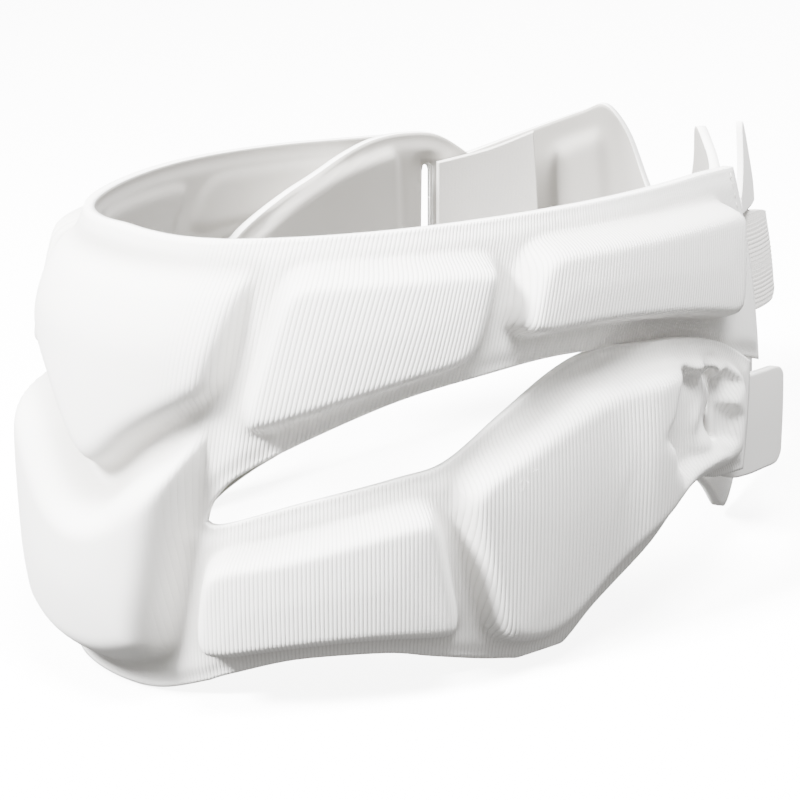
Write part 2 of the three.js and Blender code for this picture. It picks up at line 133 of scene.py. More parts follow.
# turn below, height below, turn above, height above, distance below, distance above
LEFT_UPPER_ROWS = [
    [25, 0.37, 25, 0.96, 0, 0], [26.5, 0.42, 29, 0.963, 0, 0], [31.5, 0.482, 34, 0.967, 0, 0],
    [43, 0.567, 43, 0.974, 0, 0], [55.5, 0.638, 56, 0.984, 0, 0], [67.5, 0.676, 68, 0.993, 0, 0],
    [80, 0.698, 80, 1, 0, 0], [94, 0.685, 93, 1.005, 0, 0], [105, 0.645, 104, 1.008, 0, 0],
    [117, 0.59, 115, 1.008, 0, 0], [128, 0.54, 126.5, 0.997, 0, 0],
]
RIGHT_UPPER_ROWS = [
    [25, 0.37, 25, 0.945, 0, 0], [26.5, 0.42, 29, 0.944, 0, 0], [31.5, 0.482, 34, 0.942, 0, 0],
    [43, 0.567, 43, 0.941, 0, 0], [55.5, 0.638, 56, 0.943, 0, 0], [67.5, 0.676, 68, 0.945, 0, 0],
    [80, 0.698, 80, 0.944, 0, 0], [94, 0.685, 93, 0.941, 0, 0], [105, 0.645, 104, 0.937, 0, 0],
    [117, 0.59, 115, 0.935, 0, 0], [124, 0.555, 122, 0.924, 0, 0], [128, 0.54, 128.3, 0.872, 0, 0],
]
LEFT_LOWER_ROWS = [
    [25, 0.013, 25, 0.37, 0, 0], [29, 0.034, 28, 0.366, 0, 0], [40, 0.076, 41, 0.421, 0, 0],
    [53, 0.087, 55, 0.469, 0, 0], [61, 0.07, 62.5, 0.497, 0, 0], [71, 0.045, 71, 0.585, 0, 0],
    [79.5, 0.038, 79.5, 0.662, 0, 0], [86.5, 0.13, 86.5, 0.695, 0.15, 0.15],
    [94, 0.25, 94, 0.7, 1.12, 1.12], [102, 0.36, 101, 0.69, 1.175, 1.175],
    [108, 0.35, 109, 0.655, 1.175, 1.175], [115, 0.338, 117, 0.585, 1.175, 1.175],
]
RIGHT_LOWER_ROWS = [
    [25, 0.013, 25, 0.37, 0, 0], [29, 0.034, 28, 0.366, 0, 0], [40, 0.076, 41, 0.421, 0, 0],
    [53, 0.087, 53, 0.46, 0, 0], [61, 0.065, 61, 0.53, -0.1, -0.5], [67, 0.042, 67, 0.615, -0.4, -1.6],
    [72.5, 0.034, 72.5, 0.695, -0.9, -2.6], [77, 0.085, 77, 0.76, -1.7, -3],
    [82, 0.13, 82, 0.8, -2.5, -3.05], [88, 0.165, 88, 0.84, -3, -3.05],
    [94, 0.205, 94, 0.878, -3.05, -3.05], [100, 0.3, 100, 0.922, -3.05, -3.05],
    [108, 0.45, 106, 0.953, -3.05, -3.05], [115, 0.53, 113, 0.963, -3.05, -3.05],
    [121, 0.57, 120, 0.95, -3.05, -3.05], [126, 0.6, 127.5, 0.885, -3.05, -3.05],
]
# turn, height below, height above, distance
REAR_ROWS = [
    [112, 0.34, 0.78, -1.975], [121, 0.25, 0.84, -1.975], [129.5, 0.16, 0.89, -1.975],
    [137, 0.185, 0.93, -1.975], [147, 0.24, 0.962, -1.975], [154, 0.3, 0.988, -1.975],
    [160.5, 0.34, 1.02, -1.975], [169, 0.37, 0.875, -2.2], [180, 0.4, 0.72, -3.1],
    [190, 0.42, 0.84, -2.2], [194.5, 0.425, 0.955, -1.8], [199.5, 0.425, 1.03, -1.975],
    [206, 0.425, 1.01, -1.975], [213, 0.43, 0.983, -1.975], [222, 0.435, 0.945, -1.975],
    [231, 0.44, 0.905, -1.975], [237, 0.46, 0.88, -1.975],
]

# pad outlines: lower points, upper points, each with turn and height
FRONT_UPPER_PAD = (
    [[-28, 0.672], [-12, 0.605], [3, 0.447], [15.5, 0.552], [28, 0.649]],
    [[-33, 0.895], [-16, 0.9], [0, 0.905], [16, 0.906], [33, 0.911]],
)
FRONT_LOWER_PAD = (
    [[-18.7, 0.06], [-9, 0.016], [0, 0.006], [9, 0.016], [18.7, 0.06]],
    [[-26, 0.6], [-12, 0.54], [3, 0.388], [15, 0.485], [26, 0.575]],
)
LEFT_UPPER_PADS = [
    ([[30.9, 0.592], [33.4, 0.567], [41, 0.607], [54, 0.668], [66.2, 0.713]],
     [[37.5, 0.919], [49, 0.926], [60, 0.931], [71, 0.931]]),
    ([[70.6, 0.775], [73, 0.747], [84, 0.757], [99, 0.735], [113, 0.684]],
     [[75, 0.949], [89, 0.955], [104, 0.957], [118, 0.953]]),
]
RIGHT_UPPER_PADS = [
    ([[30.9, 0.592], [33.4, 0.567], [41, 0.607], [54, 0.668], [66.2, 0.713]],
     [[37.5, 0.895], [49, 0.895], [60, 0.895], [71, 0.895]]),
    ([[70.6, 0.775], [73, 0.747], [84, 0.757], [99, 0.735], [113, 0.684]],
     [[75, 0.897], [89, 0.896], [104, 0.892], [114, 0.886]]),
]
LEFT_LOWER_PADS = [
    ([[23.6, 0.09], [26, 0.07], [38, 0.108], [52, 0.13], [64.7, 0.117]],
     [[25.6, 0.311], [37, 0.345], [49, 0.395], [60.6, 0.44]]),
    ([[68.7, 0.094], [78, 0.088], [87, 0.215], [97.5, 0.352], [112.5, 0.375]],
     [[62.6, 0.464], [71.5, 0.55], [83, 0.638], [97, 0.662], [113, 0.596]]),
]
RIGHT_LOWER_PADS = [
    ([[23.6, 0.09], [26, 0.07], [38, 0.108], [50, 0.13], [61, 0.11]],
     [[25.6, 0.311], [37, 0.352], [47, 0.395], [56, 0.43]]),
    ([[65.5, 0.094], [75, 0.115], [86, 0.2], [97, 0.32], [108, 0.52]],
     [[60.5, 0.465], [69, 0.6], [80, 0.735], [93, 0.83], [106, 0.925]]),
]
# outline of the puckered hollow at the left slot: turn, height
BITE = [
    [97.2, 0.632], [95.6, 0.585], [94.9, 0.549], [93.4, 0.518], [95, 0.486], [95.4, 0.448], [97.6, 0.405],
    [101, 0.42], [105, 0.43], [108.5, 0.443], [109.4, 0.49], [107.6, 0.528], [110, 0.566], [108.4, 0.604],
    [105.6, 0.58], [104.2, 0.63], [101, 0.608], [99, 0.637],
]
# inner face of the right lower arm, raised a little towards the head
INNER_PANEL = (
    [[66, 0.1], [80, 0.13], [92, 0.25], [104, 0.42], [112.5, 0.54]],
    [[62, 0.49], [72, 0.66], [84, 0.79], [97, 0.885], [111, 0.935]],
)
LEFT_REAR_PAD = ([[143.5, 0.29], [150, 0.34], [157, 0.39]], [[144, 0.84], [150, 0.88], [157, 0.93]])
RIGHT_REAR_PAD = ([[143.5, 0.49], [151, 0.49], [159, 0.49]], [[144, 0.9], [151, 0.94], [159, 0.97]])


def fill(rows, steps):
    """Table rows filled in smoothly by a number of steps for each span."""
    rows = np.array(rows, float)
    out = [rows[0]]
    for i in range(len(rows) - 1):
        before, after = rows[max(i - 1, 0)], rows[min(i + 2, len(rows) - 1)]
        slope_in, slope_out = (rows[i + 1] - before) / 2, (after - rows[i]) / 2
        for s in range(1, steps + 1):
            t = s / steps
            out.append(rows[i] + (rows[i + 1] - rows[i]) * t * t * (3 - 2 * t)
                       + slope_in * t * (1 - t) ** 2 + slope_out * t * t * (t - 1))
    return np.array(out)


def mirrored(pad):
    """The same pad on the other side."""
    return tuple([[-turn, share] for turn, share in points] for points in pad)


print("rows of the left upper arm", len(LEFT_UPPER_ROWS))

# %% [markdown]
# ## Small tools for the modelling
# A panel starts as a flat grid, like the cloth on the cutting table. Each of its points is then placed
# on the ring from its share along and its share up. What a point stands for is kept on the mesh, so
# that the pads, the lining and the ribs can use it later.

# %% Panels from grids
def select_only(*objects):
    """These objects are selected and the first one is active."""
    bpy.ops.object.select_all(action="DESELECT")
    for o in objects:
        o.select_set(True)
    bpy.context.view_layer.objects.active = objects[0]


def flat_grid(name, columns, rows):
    """A flat grid of that many cells, with its shares along and up."""
    bpy.ops.object.select_all(action="DESELECT")
    bpy.ops.mesh.primitive_grid_add(x_subdivisions=columns, y_subdivisions=rows, size=1, location=(0, 0, 0))
    grid = bpy.context.object
    grid.name = name
    co = np.zeros(len(grid.data.vertices) * 3)
    grid.data.vertices.foreach_get("co", co)
    co = co.reshape(-1, 3)
    return grid, co[:, 0] + 0.5, co[:, 1] + 0.5


def keep(mesh, name, values):
    """Values kept on the points of a mesh under a name."""
    layer = mesh.attributes.get(name) or mesh.attributes.new(name, "FLOAT", "POINT")
    layer.data.foreach_set("value", np.ascontiguousarray(values, dtype=np.float32))


def kept(mesh, name):
    """The values kept on the points of a mesh under a name."""
    values = np.zeros(len(mesh.vertices), dtype=np.float32)
    mesh.attributes[name].data.foreach_get("value", values)
    return values.astype(float)


def place(mesh, points):
    """All points of a mesh go to these places."""
    mesh.vertices.foreach_set("co", np.ascontiguousarray(points, dtype=np.float32).ravel())
    mesh.update()


def places(mesh):
    """The places of all points of a mesh."""
    co = np.zeros(len(mesh.vertices) * 3)
    mesh.vertices.foreach_get("co", co)
    return co.reshape(-1, 3)


def panel(name, rows, side, columns, up_cells, kind):
    """A flat panel between the lower and upper edges of a table, kept as turn, height and distance."""
    grid, u, v = flat_grid(name, columns, up_cells)
    dense = fill(rows, 16)
    share = u if side > 0 else 1 - u
    centre = (dense[:, 0] + dense[:, 2]) / 2
    at = centre[0] + share * (centre[-1] - centre[0])
    columns_of = [np.interp(at, centre, dense[:, i]) for i in range(6)]
    low_turn, low, high_turn, high, near, far = columns_of
    keep(grid.data, "turn", side * (low_turn + (high_turn - low_turn) * v))
    keep(grid.data, "height", (low + (high - low) * v) * BAND_HEIGHT)
    keep(grid.data, "inside", (near + (far - near) * v) * SHEET)
    keep(grid.data, "kind", np.full(len(u), float(kind)))
    return grid


def outline(pad, rounding=4):
    """A pad's outline with rounded corners, as points with distance along and height."""
    low, high = fill(pad[0], 6), fill(pad[1], 6)
    points = np.concatenate([low, high[::-1]])
    points = np.stack([along(points[:, 0]), points[:, 1] * BAND_HEIGHT], -1)
    closed = np.concatenate([points, points[:1]])
    run = np.concatenate([[0], np.cumsum(np.hypot(*np.diff(closed, axis=0).T))])
    count = int(run[-1] / 1.5)
    marks = np.linspace(0, run[-1], count, endpoint=False)
    even = np.stack([np.interp(marks, run, closed[:, k]) for k in (0, 1)], -1)
    for _ in range(rounding):
        even = (np.roll(even, 1, 0) + even + np.roll(even, -1, 0)) / 3
    return even


def depth_inside(points, polygon):
    """Distance to a polygon's outline, positive inside it."""
    a, b = polygon, np.roll(polygon, -1, 0)
    best = np.full(len(points), 1e9)
    inside = np.zeros(len(points), bool)
    for p, q in zip(a, b):
        d = q - p
        t = np.clip(((points - p) @ d) / max(d @ d, 1e-9), 0, 1)
        best = np.minimum(best, np.hypot(*(points - p - t[:, None] * d).T))
        crosses = (p[1] > points[:, 1]) != (q[1] > points[:, 1])
        with np.errstate(divide="ignore", invalid="ignore"):
            x = p[0] + (points[:, 1] - p[1]) / (q[1] - p[1]) * d[0]
        inside ^= crosses & (points[:, 0] < x)
    return np.where(inside, best, -best)


def rise(depth, thickness, side_width):
    """Height of a pad's face at a depth inside its outline: a steep side, a rounded edge, a low crown."""
    t = np.clip(depth / side_width, 0, 1)
    side = 1 - (1 - t) ** 2.3
    crown = 1 - np.exp(-np.clip(depth, 0, None) / 12)
    return thickness * (0.9 * side + 0.1 * crown * side)


print("tools ready")

# %% [markdown]
# ## The ring cover
# The ring is one sheet: a front panel that forks into an upper and a lower arm on each side. The pads
# are part of it, pressed up from the same laminate, with the sheet left thin in the grooves. So the
# panels are joined into one mesh, and the pads are a height over their outlines. That keeps the
# knit running on from the groove over the pad, as on the real guard.

# %% The ring cover, flat panels joined
FRONT_CELLS = 36
ARM_CELLS = 80
UP_CELLS = 24
KIND_FRONT, KIND_UPPER, KIND_LOWER = 0, 1, -1

front_low = [[t, low, t, FORK[1], 0, 0] for t, low, high in FRONT_ROWS]
front_high = [[t, FORK[1], t, high, 0, 0] for t, low, high in FRONT_ROWS]
panels = [
    panel("ring_cover", front_low, 1, FRONT_CELLS, UP_CELLS, KIND_FRONT),
    panel("front_high", front_high, 1, FRONT_CELLS, UP_CELLS, KIND_FRONT),
    panel("upper_left", LEFT_UPPER_ROWS, 1, ARM_CELLS, UP_CELLS, KIND_UPPER),
    panel("upper_right", RIGHT_UPPER_ROWS, -1, ARM_CELLS, UP_CELLS, KIND_UPPER),
    panel("lower_left", LEFT_LOWER_ROWS, 1, ARM_CELLS, UP_CELLS, KIND_LOWER),
    panel("lower_right", RIGHT_LOWER_ROWS, -1, ARM_CELLS, UP_CELLS, KIND_LOWER),
]
for p in panels:
    place(p.data, ring_point(kept(p.data, "turn"), kept(p.data, "height"), kept(p.data, "inside")))
select_only(*panels)
bpy.ops.object.join()
cover = bpy.context.object
bpy.ops.object.mode_set(mode="EDIT")
bpy.ops.mesh.select_all(action="SELECT")
bpy.ops.mesh.remove_doubles(threshold=0.00005)
bpy.ops.object.mode_set(mode="OBJECT")
print("flat cells of the ring", len(cover.data.polygons))

# %% [markdown]
# ## The two slots
# A long slot with round ends goes through each lower arm near its end, and on the right through the
# upper arm too. The strap end is pulled through it. The cells inside the slot are taken out and the ones
# round it are moved to its edge, which gives a clean rounded opening without a fine mesh everywhere.

# %% Slots
# turn, height, panel, half width, half the straight part
SLOTS = [
    (105.5, 0.53, KIND_LOWER, 1.3, 8),
    (-117.3, 0.745, KIND_LOWER, 2.0, 12.5),
    (-119.2, 0.715, KIND_UPPER, 2.2, 12.5),
]


def slot_gap(mesh, slot):
    """Where the points of a mesh lie from a slot's middle line, and which belong to its panel."""
    at, share, which, _, reach = slot
    turn, height, kind = kept(mesh, "turn"), kept(mesh, "height"), kept(mesh, "kind")
    ds, dz = along(turn) - along(at), height - share * BAND_HEIGHT
    core = np.clip(dz, -reach, reach)
    near = (np.round(kind) == which) & (np.abs(turn - at) < 12)
    return ds, dz, core, near


gone = np.zeros(len(cover.data.vertices), bool)
for slot in SLOTS:
    ds, dz, core, near = slot_gap(cover.data, slot)
    gone |= near & (np.hypot(ds, dz - core) < slot[3] * 0.85)
select_only(cover)
bpy.ops.object.mode_set(mode="EDIT")
bpy.ops.mesh.select_mode(type="VERT")
bpy.ops.mesh.select_all(action="DESELECT")
bpy.ops.object.mode_set(mode="OBJECT")
cover.data.vertices.foreach_set("select", gone)
bpy.ops.object.mode_set(mode="EDIT")
bpy.ops.mesh.delete(type="VERT")
bpy.ops.mesh.select_all(action="DESELECT")
bpy.ops.mesh.select_non_manifold(extend=False, use_wire=False, use_multi_face=False, use_non_contiguous=False,
                                 use_verts=False)
bpy.ops.object.mode_set(mode="OBJECT")
on_edge = np.zeros(len(cover.data.vertices), bool)
cover.data.vertices.foreach_get("select", on_edge)
turn, height = kept(cover.data, "turn"), kept(cover.data, "height")
for slot in SLOTS:
    ds, dz, core, near = slot_gap(cover.data, slot)
    gap = np.hypot(ds, dz - core)
    snap = near & on_edge & (gap < slot[3] + 3.2) & (np.abs(dz) < slot[4] + slot[3] + 3)
    turn = np.where(snap, np.interp(along(slot[0]) + ds / gap * slot[3], ALONG, TURNS), turn)
    height = np.where(snap, slot[1] * BAND_HEIGHT + core + (dz - core) / gap * slot[3], height)
keep(cover.data, "turn", turn)
keep(cover.data, "height", height)
print("points taken out for the slots", int(gone.sum()))

# %% [markdown]
# ## Pads, lining and rim
# The sheet gets its thickness from a solidify modifier, so that the outside, the lining and the cut
# rim are one closed skin. Each side has its own material. The outside is then lifted over the pads.

# %% Thickness and pads
def thicken(piece, thickness):
    """The flat sheet becomes a closed skin: outside, lining and rim with materials 0, 1 and 2."""
    select_only(piece)
    for _ in range(3):
        piece.data.materials.append(None)
    wall = piece.modifiers.new("wall", "SOLIDIFY")
    wall.thickness = thickness * 0.001
    wall.offset = -1
    wall.material_offset = 1
    wall.material_offset_rim = 2
    first = len(piece.data.vertices)
    bpy.ops.object.modifier_apply(modifier="wall")
    outside = np.arange(len(piece.data.vertices)) < first
    keep(piece.data, "outside", outside.astype(float))
    return outside


BROW_TOP = 0.93  # the shield fades out over BROW_EASE millimetres below this share of the height
BROW_EASE = 22
CHEVRON_FOOT = 0.25  # below this share the chevron pad loses up to CHEVRON_LOSS of its height
CHEVRON_LOSS = 0.3
PUCKER_TURN = 90  # from here on the left lower pad loses up to PUCKER_LOSS over PUCKER_EASE degrees
PUCKER_EASE = 12
PUCKER_LOSS = 0.6


def pad_heights(turn, height, kind):
    """Height of the pads over the sheet of the ring, and the depth inside the nearest outline."""
    here = np.stack([along(turn), height], -1)
    total = np.zeros(len(turn))
    deepest = np.full(len(turn), -99.0)
    jobs = [
        (FRONT_UPPER_PAD, PAD_BROW, 6, np.abs(turn) < 40),
        (FRONT_LOWER_PAD, PAD_CHEVRON, 9, np.abs(turn) < 40),
    ]
    for side, upper, lower in ((1, LEFT_UPPER_PADS, LEFT_LOWER_PADS),
                               (-1, RIGHT_UPPER_PADS, RIGHT_LOWER_PADS)):
        own = turn * side > 0
        for pad in upper:
            jobs.append((pad if side > 0 else mirrored(pad), PAD_SIDE, 3.6, own & (kind > -0.3)))
        for i, pad in enumerate(lower):
            thick = PAD_TUCKED if side < 0 and i == 1 else PAD_SIDE
            jobs.append((pad if side > 0 else mirrored(pad), thick, 3.6, own & (kind < 0.3)))
    for pad, thickness, side_width, where in jobs:
        depth = depth_inside(here, outline(pad, 5 if side_width > 4 else 14))
        face = rise(depth, thickness, side_width)
        if pad is FRONT_UPPER_PAD:
            under_rim = np.clip((BROW_TOP * BAND_HEIGHT - height) / BROW_EASE, 0, 1)
            face *= 1 - (1 - under_rim) ** 2
        if pad is FRONT_LOWER_PAD:
            foot_height = CHEVRON_FOOT * BAND_HEIGHT
            low_down = np.clip((foot_height - height) / foot_height, 0, 1)
            face *= 1 - CHEVRON_LOSS * low_down ** 2
        if pad is LEFT_LOWER_PADS[1]:
            ease = np.clip((np.abs(turn) - PUCKER_TURN) / PUCKER_EASE, 0, 1)
            face *= 1 - PUCKER_LOSS * ease ** 2 * (3 - 2 * ease)
            bite = np.array([[along(t), share * BAND_HEIGHT] for t, share in BITE])
            clear = np.clip((0.8 - depth_inside(here, bite)) / 2.4, 0, 1)
            face *= clear ** 2 * (3 - 2 * clear)
        total = np.maximum(total, np.where(where, face, 0))
        deepest = np.maximum(deepest, np.where(where, depth, -99))
    return total, deepest


def evened(mesh, values, rounds):
    """Each point's value drawn to the mean of its neighbours, a few times over."""
    ends = np.zeros(len(mesh.edges) * 2, dtype=np.int32)
    mesh.edges.foreach_get("vertices", ends)
    ends = ends.reshape(-1, 2)
    count = np.bincount(ends.ravel(), minlength=len(values))
    for _ in range(rounds):
        total = np.bincount(ends[:, 0], weights=values[ends[:, 1]], minlength=len(values))
        total += np.bincount(ends[:, 1], weights=values[ends[:, 0]], minlength=len(values))
        values = 0.45 * values + 0.55 * total / np.maximum(count, 1)
    return values


def put_on_ring(mesh):
    """Every point goes to its place: the sheet and the lift over it. The lift and the depth inside the
    nearest outline are given back.
    """
    turn, height, kind = kept(mesh, "turn"), kept(mesh, "height"), kept(mesh, "kind")
    outside = kept(mesh, "outside")
    lift, deepest = pad_heights(turn, height, kind)
    lift = evened(mesh, lift, 2)
    out = kept(mesh, "inside") + outside * SHEET + lift * (outside > 0.9)
    here = np.stack([along(turn), height], -1)
    tucked = (kind < -0.7) & (turn < 0)
    panel_face = rise(depth_inside(here, outline(mirrored(INNER_PANEL), 6)), 1.8, 3)
    inner = np.where(tucked, panel_face, 0.11 * lift)
    out = out - inner * (outside < 0.1)
    place(mesh, ring_point(turn, height, out))
    return lift * (outside > 0.9), deepest


thicken(cover, SHEET)
lift, deepest = put_on_ring(cover.data)
print("highest pad in mm", round(float(lift.max()), 2))

# %% [markdown]
# ## The pads swell
# The sponge pushes the knit out, and the grooves hold it down. A short cloth simulation shows this:
# the skin is pinned in the grooves and on the lining, a light pressure acts inside, and gravity is
# off. A point may move only a little, so that the pads keep the sizes of the CAD model.

# %% Cloth simulation of the cover
SWELL_CAP = 1.0
REAR_SWELL_CAP = 0.5
SWELL_FRAMES = 20


def swell(piece, free, cap, pressure=4.0):
    """Light cloth simulation of a closed skin, where free is 0 for held points and 1 for loose ones."""
    before = places(piece.data)
    group = piece.vertex_groups.new(name="held")
    for level in range(1, 11):
        chosen = np.nonzero(np.round((1 - free) * 10) == level)[0]
        if len(chosen):
            group.add([int(i) for i in chosen], level / 10, "REPLACE")
    select_only(piece)
    cloth = piece.modifiers.new("swell", "CLOTH")
    cloth.settings.vertex_group_mass = "held"
    cloth.settings.pin_stiffness = 1
    cloth.settings.quality = 5
    cloth.settings.mass = 0.15
    cloth.settings.tension_stiffness = 12
    cloth.settings.compression_stiffness = 12
    cloth.settings.use_pressure = True
    cloth.settings.uniform_pressure_force = pressure
    cloth.settings.effector_weights.gravity = 0
    cloth.collision_settings.use_collision = False
    cloth.point_cache.frame_start = 1
    cloth.point_cache.frame_end = SWELL_FRAMES
    for step in range(1, SWELL_FRAMES + 1):
        bpy.context.scene.frame_set(step)
    bpy.ops.object.modifier_apply(modifier="swell")
    bpy.context.scene.frame_set(1)
    piece.vertex_groups.clear()
    move = places(piece.data) - before
    size = np.linalg.norm(move, axis=1)
    allowed = cap * 0.001 * free
    factor = np.where(size > allowed, allowed / np.maximum(size, 1e-9), 1)
    place(piece.data, before + move * factor[:, None])
    return float((size * factor).max() * 1000)


loose = np.clip((deepest - 2) / 6, 0, 1) * kept(cover.data, "outside")
before = places(cover.data)
print("pads swelled by up to mm", round(swell(cover, loose, SWELL_CAP), 2))
swelled = places(cover.data) - before
for axis, name in enumerate("xyz"):
    keep(cover.data, "swell_" + name, swelled[:, axis])

# %% [markdown]
# ## Finishing a soft skin
# One level of subdivision rounds the cut edges a little, as pressed sponge does, and gives the knit its
# soft light. The ribs get their own map in millimetres: across the ribs, and along them. On the upper
# arms the cloth was cut at a slant, so the ribs lean back.

# %% Subdivision and rib map
def finish_skin(piece, levels=1, rim=0.55):
    """Subdivides, smooths and creases the rim of a skin."""
    mesh = piece.data
    sharp = mesh.attributes.get("crease_edge") or mesh.attributes.new("crease_edge", "FLOAT", "EDGE")
    on_rim = np.array([p.material_index == 2 for p in mesh.polygons])
    touches = {}
    for polygon, is_rim in zip(mesh.polygons, on_rim):
        for key in polygon.edge_keys:
            touches.setdefault(key, set()).add(bool(is_rim))
    values = [rim if len(touches.get(tuple(sorted(e.vertices)), ())) == 2 else 0.0 for e in mesh.edges]
    sharp.data.foreach_set("value", values)
    select_only(piece)
    fine = piece.modifiers.new("fine", "SUBSURF")
    fine.levels = levels
    fine.render_levels = levels
    bpy.ops.object.modifier_apply(modifier="fine")
    bpy.ops.object.mode_set(mode="EDIT")
    bpy.ops.mesh.select_all(action="SELECT")
    bpy.ops.mesh.normals_make_consistent(inside=False)
    bpy.ops.object.mode_set(mode="OBJECT")
    bpy.ops.object.shade_smooth()


def rib_map(piece, slant=0.0):
    """A map in millimetres: across the ribs and along them. slant is the lean of the ribs above the fork."""
    mesh = piece.data
    turn, z, kind = kept(mesh, "turn"), kept(mesh, "height"), kept(mesh, "kind")
    above = np.clip(z - FORK[1] * BAND_HEIGHT, 0, None) * (kind > -0.3) * np.sign(turn)
    ramp = np.clip((np.abs(turn) - 8) / 50, 0, 1)
    across = along(turn) - above * math.tan(math.radians(slant)) * ramp
    layer = mesh.uv_layers.get("ribs") or mesh.uv_layers.new(name="ribs")
    corner = np.zeros(len(mesh.loops), dtype=np.int32)
    mesh.loops.foreach_get("vertex_index", corner)
    layer.data.foreach_set("uv", np.stack([across[corner], z[corner]], -1).astype(np.float32).ravel())


finish_skin(cover)
lift, deepest = put_on_ring(cover.data)
# painted shade: the groove value darkens the colour at the foot of each pad, most of all round the front V
foot = np.exp(-((deepest + 0.6) / 2.6) ** 2) * (kept(cover.data, "outside") > 0.9)
more_at_front = 1 + 1.1 * np.exp(-(kept(cover.data, "turn") / 24) ** 2)
keep(cover.data, "groove", foot * more_at_front)
swelled = np.stack([kept(cover.data, "swell_" + name) for name in "xyz"], -1)
place(cover.data, places(cover.data) + swelled)


def pinch_rim(piece, depth, reach):
    """The pressed edge is thinner than the sheet: near the cut rim the outside sinks in."""
    mesh = piece.data
    co, outside = places(mesh), kept(mesh, "outside")
    turn = kept(mesh, "turn")
    rim = np.nonzero((outside > 0.2) & (outside < 0.8))[0]
    tree = KDTree(len(rim))
    for i in rim:
        tree.insert(Vector(co[i]), int(i))
    tree.balance()
    gap = np.array([tree.find(Vector(p))[2] * 1000 for p in co]) - SHEET / 2
    a = np.radians(turn)
    normal = np.stack([np.sin(a) * HEAD_FRONT, -np.cos(a) * HEAD_HALF_WIDTH, 0 * a], -1)
    normal /= np.linalg.norm(normal, axis=1)[:, None]
    sink = (outside - 0.5) * depth * np.exp(-(np.clip(gap, 0, None) / reach) ** 2)
    place(mesh, co - normal * (sink * 0.001)[:, None])


pinch_rim(cover, 1.6, 1.7)
turn = kept(cover.data, "turn")
rib_map(cover, slant=14)
ribbed = np.clip((np.abs(turn) - 16) / 16, 0.0, 1)
keep(cover.data, "ribbed", ribbed)
faces_of = [sum(p.material_index == i for p in cover.data.polygons) for i in range(3)]
print("faces of the outside, lining and rim", faces_of)
print("triangles of the cover", sum(len(p.vertices) - 2 for p in cover.data.polygons))

# %% [markdown]
# ## The puckered end of the left arm
# Where the strap end is pulled through the left slot, the lower arm gathers into a wavy lip with small
# hollows beside it. A sheet that is pulled at a slot folds across the pull, so the folds are short
# waves that die out a few millimetres away from it.

# %% Pucker
def bump(x, width):
    """A soft hump of that width round zero."""
    return np.exp(-(x / width) ** 2)


def pucker(piece):
    """Gathers the skin round the slot of the left lower arm."""
    mesh = piece.data
    turn, height, kind = kept(mesh, "turn"), kept(mesh, "height"), kept(mesh, "kind")
    s = along(turn) - along(SLOTS[0][0])
    z = height - SLOTS[0][1] * BAND_HEIGHT
    near = (np.round(kind) == KIND_LOWER) & (turn > 88) & (turn < 118)
    pit = -1.6 * bump(s - 0.5, 3) * bump(z - 5.5, 2.8) - 1.2 * bump(s + 8, 2.4) * bump(z - 8, 2.6)
    folds = 0.55 * np.sin(s / 0.75) * bump(s + 0.5, 5) * bump(z + 5, 4.5)
    bulge = 2.4 * bump(s + 4, 4.5) * bump(z + 9.5, 3.2)
    ridge = 1.7 * bump(s + 3.5 + 0.35 * (z - 5), 1.6) * bump(z - 6, 5)
    ridge = ridge + 1.2 * bump(s + 7, 1.8) * bump(z + 2, 4)
    push = np.where(near, pit + folds + bulge + ridge, 0)
    sideways = np.where(near, 0.8 * np.sin(z / 2.1 + 0.4) * bump(s + 4, 5) * bump(z, 15), 0)
    a = np.radians(turn)
    normal = np.stack([np.sin(a) * HEAD_REAR, -np.cos(a) * HEAD_HALF_WIDTH, 0 * a], -1)
    normal /= np.linalg.norm(normal, axis=1)[:, None]
    tangent = np.stack([-normal[:, 1], normal[:, 0], 0 * a], -1)
    on_skin = kept(mesh, "outside") > 0.5
    shift = normal * (push * np.where(on_skin, 1, 0.25))[:, None] + tangent * sideways[:, None]
    place(mesh, places(mesh) + shift * 0.001)
    return float(np.abs(push).max())


print("pucker height in mm", round(pucker(cover), 2))

# %% [markdown]
# ## The rear panel
# The two sides meet in a thinner rear panel whose top rises into two ears beside a notch. It carries
# a flat pad on each side. It is a separate laminate on the real guard, so it is a separate skin here,
# made in the same way as the ring.

# %% Rear panel
REAR_CELLS = 70
rear_rows = [[t, low, t, high, out, out] for t, low, high, out in REAR_ROWS]
rear = panel("rear_cover", rear_rows, 1, REAR_CELLS, 30, 3)
place(rear.data, ring_point(kept(rear.data, "turn"), kept(rear.data, "height"), kept(rear.data, "inside")))
outside = thicken(rear, REAR_SHEET)
turn, height, inside = kept(rear.data, "turn"), kept(rear.data, "height"), kept(rear.data, "inside")
whole = np.where(turn < 0, turn + 360, turn)
spot = np.stack([along(np.where(whole > 180, whole - 360, whole)), height], -1)
lift = np.zeros(len(turn))
for pad in (LEFT_REAR_PAD, mirrored(RIGHT_REAR_PAD)):
    lift = np.maximum(lift, rise(depth_inside(spot, outline(pad)), PAD_REAR, 4))
lift = np.where(outside, lift, -0.55 * lift)
wave = 0.5 * np.sin(height / 9 + whole / 7) * bump(whole - 180, 14)
place(rear.data, ring_point(turn, height, inside + np.where(outside, REAR_SHEET, 0) + lift + wave))
print("rear pads swelled by up to mm", round(swell(rear, np.clip(lift / 2, 0, 1), REAR_SWELL_CAP), 2))
finish_skin(rear)
rib_map(rear)
keep(rear.data, "ribbed", np.full(len(rear.data.vertices), 0.35))
print("triangles of the rear panel", sum(len(p.vertices) - 2 for p in rear.data.polygons))

# %% [markdown]
# ## The loose ear and the strap ends
# A small pointed ear stands off the rear panel, and the strap ends lie flat against the wall. They are
# narrow strips, so they are modelled directly, with their corners cut in the outline. The
# coarse weave of the upper strap is real relief, because it shows up close.

